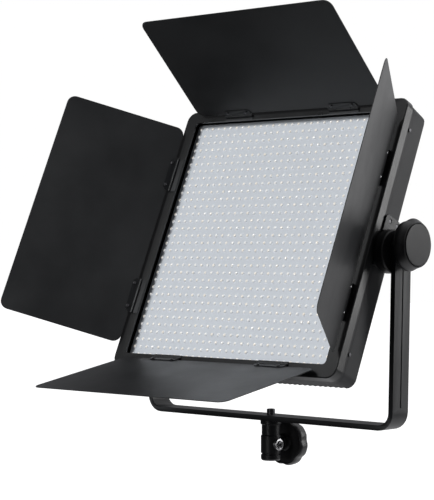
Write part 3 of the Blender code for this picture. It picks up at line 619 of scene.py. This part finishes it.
def make_door(name):
    """The sheet, its hinges, bright rivets outside and dark screws inside."""
    refine(f"door_{name}", "door_sheet_black", 0.3 * MM)
    place = door_frame(name)
    outer = local_box(f"door_{name}", place)[1].z
    rivets, screws = bmesh.new(), bmesh.new()
    for index in (1, 2):
        refine(f"hinge_bracket_{name}_{index}", "satin_black_metal", 0.15 * MM)
        refine(f"hinge_leaf_{name}_{index}", "satin_black_metal", 0.15 * MM)
        low, high = local_box(f"hinge_leaf_{name}_{index}", place)
        for aside in (-RIVET_ASIDE, RIVET_ASIDE):
            along = (low.y + high.y) / 2 + aside
            head = place @ Matrix.Translation((RIVET_AWAY, along, outer))
            add_lathe(rivets, scaled(RIVET_HEAD, RIVET_RADIUS), head, 20)
            head = place @ Matrix.Translation((RIVET_AWAY, along, low.z))
            head = head @ Matrix.Rotation(math.pi, 4, "X")
            add_lathe(screws, scaled(FLAT_HEAD, DOOR_SCREW_RADIUS), head, 24)
    new_piece(f"door_{name}_rivets", rivets, "bright_steel", f"door_{name}", weighted=False)
    new_piece(f"door_{name}_screws", screws, "dark_steel", f"door_{name}", weighted=False)


# Yoke, adapter and knobs


def make_yoke():
    refine("yoke", "satin_black_metal", 0.5 * MM, 3)
    refine("stand_adapter", "satin_black_metal", 0.3 * MM)
    refine("yoke_bolt", "dark_steel", 0.2 * MM)
    make_adapter_ring()
    refine("stand_lock_bolt", "bright_steel", 0.2 * MM)


def make_adapter_ring():
    """A bright ring on the adapter's side, round its set screw."""
    low, high = (Vector(corner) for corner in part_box("adapter_set_screw"))
    centre = (low + high) / 2
    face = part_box("stand_adapter")[1][0]
    place = axes_frame((face, centre.y, centre.z), Vector((0, 1, 0)), UP, Vector((1, 0, 0)))
    root = (centre.x - face) / MM
    ring = (*((radius, root) for radius in CLAMP_RING_WALLS), *CLAMP_RING_RIM)
    shape = bmesh.new()
    loops = [circle(radius, height, 40) for radius, height in scaled(ring, MM)]
    add_rings(shape, loops + loops[:1], place, close_start=False, close_end=False)
    bmesh.ops.remove_doubles(shape, verts=shape.verts, dist=0.001 * MM)
    new_piece("adapter_clamp_ring", shape, "bright_steel", "stand_mount")
    shape = bmesh.new()
    add_lathe(shape, scaled(SOCKET_HEAD, CLAMP_SCREW_RADIUS), place, 24)
    new_piece("adapter_set_screw_finished", shape, "dark_steel", "stand_mount",
              nodes=["adapter_set_screw"])


def notched(depth, notches, first):
    """A radius with a few finger notches, one of them at the given turn."""
    def radius_at(radius, turn):
        near = (1 + math.cos(notches * (turn - first))) / 2
        return radius - depth * near**3
    return radius_at


def make_tilt_knob(name, side):
    """A domed knob with finger notches, a round cap let into its face, and its bolt."""
    node = f"tilt_knob_{name}"
    body = frame["nodes"][node]["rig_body"]
    place = axle_frame(f"{node}_turn", Vector((side, 0, 0)))
    low, high = local_box(node, place)
    cap_low, cap_high = local_box(f"tilt_knob_cap_{name}", place)
    widest = max(high.x, high.y, -low.x, -low.y)
    cap = (cap_high.x - cap_low.x) / 2
    face = cap_high.z
    # From the yoke's side to the face: radius, height and how deep the notches are, in millimetres
    stations = [
        (15, 0, 0), (22, 2, 0), (29, 5, 0.7), (widest / MM - 0.5, 8, 1), (widest / MM, 11, 1),
        (widest / MM - 1.2, 14.2, 0.9), (widest / MM - 3.6, 17.3, 0.4), (cap / MM + 2, 19.5, 0.05),
    ]
    shape = bmesh.new()
    rings = [circle(3 * MM, low.z, KNOB_SIDES)]
    for radius, height, share in smooth_path(stations, 4):
        depth = KNOB_NOTCH_DEPTH * max(0.0, min(1.0, share))
        edge = notched(depth, KNOB_NOTCHES, KNOB_NOTCH_TURN)
        rings.append(circle(min(radius * MM, widest), low.z + height * MM, KNOB_SIDES, edge))
    rings.append(circle(cap + 1.0 * MM, face - 1.1 * MM, KNOB_SIDES))
    rings.append(circle(cap + 0.5 * MM, face - 1.5 * MM, KNOB_SIDES))
    rings.append(circle(cap + 0.25 * MM, cap_low.z, KNOB_SIDES))
    add_rings(shape, rings, place)
    new_piece(f"{node}_finished", shape, "soft_black_plastic", body, nodes=[node], angle=50)
    make_knob_cap(f"tilt_knob_cap_{name}", body, place)
    refine(f"tilt_bolt_{name}", "dark_steel", 0.3 * MM)


def make_knob_cap(node, body, place):
    """A disc with a softly rounded rim."""
    low, high = local_box(node, place)
    radius = (high.x - low.x) / 2
    face = high.z
    profile = [
        (radius, low.z), (radius, face - 0.9 * MM), (radius - 0.15 * MM, face - 0.5 * MM),
        (radius - 0.5 * MM, face - 0.2 * MM), (radius - 1.2 * MM, face - 0.08 * MM),
        (radius * 0.7, face - 0.03 * MM), (radius * 0.3, face), (radius * 0.02, face),
    ]
    shape = bmesh.new()
    add_lathe(shape, profile, place, KNOB_SIDES)
    new_piece(f"{node}_finished", shape, "knob_cap_plastic", body, nodes=[node], angle=50)


def make_lock_knob():
    """A hand knob with shallow notches in its rim, dished in front round its hub."""
    place = axle_frame("stand_lock_turn", Vector((0, 1, 0)))
    low, high = local_box("stand_lock_knob", place)
    radius = -low.x
    inner = high.z - LOCK_KNOB_THICKNESS
    # From the hub to the outer face: radius in millimetres, height, and how deep the notches are
    stations = [
        (9, low.z, 0), (9.4, inner - 1.2 * MM, 0), (12, inner + 1.6 * MM, 0),
        (24, inner + 1.8 * MM, 0.2), (27.5, inner + 0.3 * MM, 0.5),
        (radius / MM - 1.4, inner + 0.9 * MM, 0.8), (radius / MM - 0.1, inner + 3.4 * MM, 1),
        (radius / MM, inner + 8 * MM, 1), (radius / MM - 0.6, high.z - 4 * MM, 1),
        (radius / MM - 2.4, high.z - 1.1 * MM, 0.8), (24, high.z, 0.3), (10, high.z - 0.2 * MM, 0),
    ]
    shape = bmesh.new()
    rings = [circle(4.5 * MM, low.z, LOCK_KNOB_SIDES)]
    for reach, height, share in smooth_path(stations, 4):
        depth = LOCK_NOTCH_DEPTH * max(0.0, min(1.0, share))
        height = min(max(height, low.z), high.z)
        edge = notched(depth, LOCK_NOTCHES, LOCK_NOTCH_TURN)
        rings.append(circle(min(reach * MM, radius), height, LOCK_KNOB_SIDES, edge))
    rings.append(circle(1 * MM, high.z - 0.2 * MM, LOCK_KNOB_SIDES))
    add_rings(shape, rings, place)
    new_piece("stand_lock_knob_finished", shape, "soft_black_plastic", "stand_lock",
              nodes=["stand_lock_knob"], angle=50)


# Stage, lights and camera


def add_stage(name, shape, colour, glow):
    """A pale surround that only the camera sees, so the lights alone shape the object."""
    mesh = bpy.data.meshes.new(name)
    shape.to_mesh(mesh)
    shape.free()
    surround = bpy.data.objects.new(name, mesh)
    surround.visible_diffuse = False
    surround.visible_glossy = False
    surround.visible_shadow = False
    bpy.context.scene.collection.objects.link(surround)
    look = bpy.data.materials.new(f"{name}_paper")
    look.use_nodes = True
    shader = look.node_tree.nodes["Principled BSDF"]
    shader.inputs["Base Color"].default_value = (colour, colour, colour, 1)
    shader.inputs["Roughness"].default_value = 0.9
    shader.inputs["Emission Color"].default_value = (1, 1, 1, 1)
    shader.inputs["Emission Strength"].default_value = glow
    mesh.materials.append(look)


def make_stage():
    shape = bmesh.new()
    place = Matrix.Translation((0, 0, FLOOR_Z))
    bmesh.ops.create_grid(shape, x_segments=8, y_segments=8, size=STAGE_SIZE, matrix=place)
    add_stage("floor", shape, colour=0.5, glow=0.93)
    shape = bmesh.new()
    bmesh.ops.create_uvsphere(shape, u_segments=48, v_segments=24, radius=STAGE_SIZE)
    bmesh.ops.reverse_faces(shape, faces=shape.faces)
    add_stage("backdrop", shape, colour=0.0, glow=1.0)


def make_world():
    """Dim in front and dark below, with soft light from above and from low behind."""
    world = bpy.data.worlds.new("studio")
    bpy.context.scene.world = world
    world.use_nodes = True
    tree = world.node_tree
    link = tree.links.new
    way = add(tree, "ShaderNodeTexCoord").outputs["Generated"]
    tone = None
    for axis, low, high, colour in WORLD_STEPS:
        along = add(tree, "ShaderNodeVectorMath", operation="DOT_PRODUCT")
        along.inputs[1].default_value = axis
        link(way, along.inputs[0])
        share = add(tree, "ShaderNodeMapRange", interpolation_type="SMOOTHSTEP")
        share.inputs["From Min"].default_value = low
        share.inputs["From Max"].default_value = high
        link(along.outputs["Value"], share.inputs["Value"])
        step = add(tree, "ShaderNodeMix", data_type="RGBA")
        step.inputs["A"].default_value = (*WORLD_DIM, 1)
        step.inputs["B"].default_value = (*colour, 1)
        link(share.outputs["Result"], step.inputs["Factor"])
        if tone:
            link(tone, step.inputs["A"])
        tone = step.outputs["Result"]
    link(tone, tree.nodes["Background"].inputs["Color"])


def add_light(name, place, target, size, power):
    """A rectangular softbox that the camera doesn't see."""
    data = bpy.data.lights.new(name, "AREA")
    data.shape = "RECTANGLE"
    data.size, data.size_y = size
    data.energy = power
    light = bpy.data.objects.new(name, data)
    light.location = place
    light.rotation_euler = (Vector(target) - Vector(place)).to_track_quat("-Z", "Y").to_euler()
    light.visible_camera = False
    bpy.context.scene.collection.objects.link(light)


def make_camera():
    data = bpy.data.cameras.new("camera")
    data.lens = CAMERA_LENS
    data.clip_end = CAMERA_REACH
    camera = bpy.data.objects.new("camera", data)
    camera.location = CAMERA_PLACE
    camera.rotation_euler = (math.pi / 2 - CAMERA_DROP, 0, CAMERA_TURN)
    bpy.context.scene.collection.objects.link(camera)
    bpy.context.scene.camera = camera


def main():
    bpy.context.scene.view_settings.view_transform = "Standard"
    make_camera()
    make_stage()
    make_world()
    for name, (place, target, size, power) in LIGHTS.items():
        add_light(name, place, target, size, power)
    make_board()
    make_leds()
    make_casing()
    make_back()
    for name in ("left", "right", "top", "bottom"):
        make_door(name)
    make_yoke()
    make_tilt_knob("right", 1)
    make_tilt_knob("left", -1)
    make_lock_knob()


main()
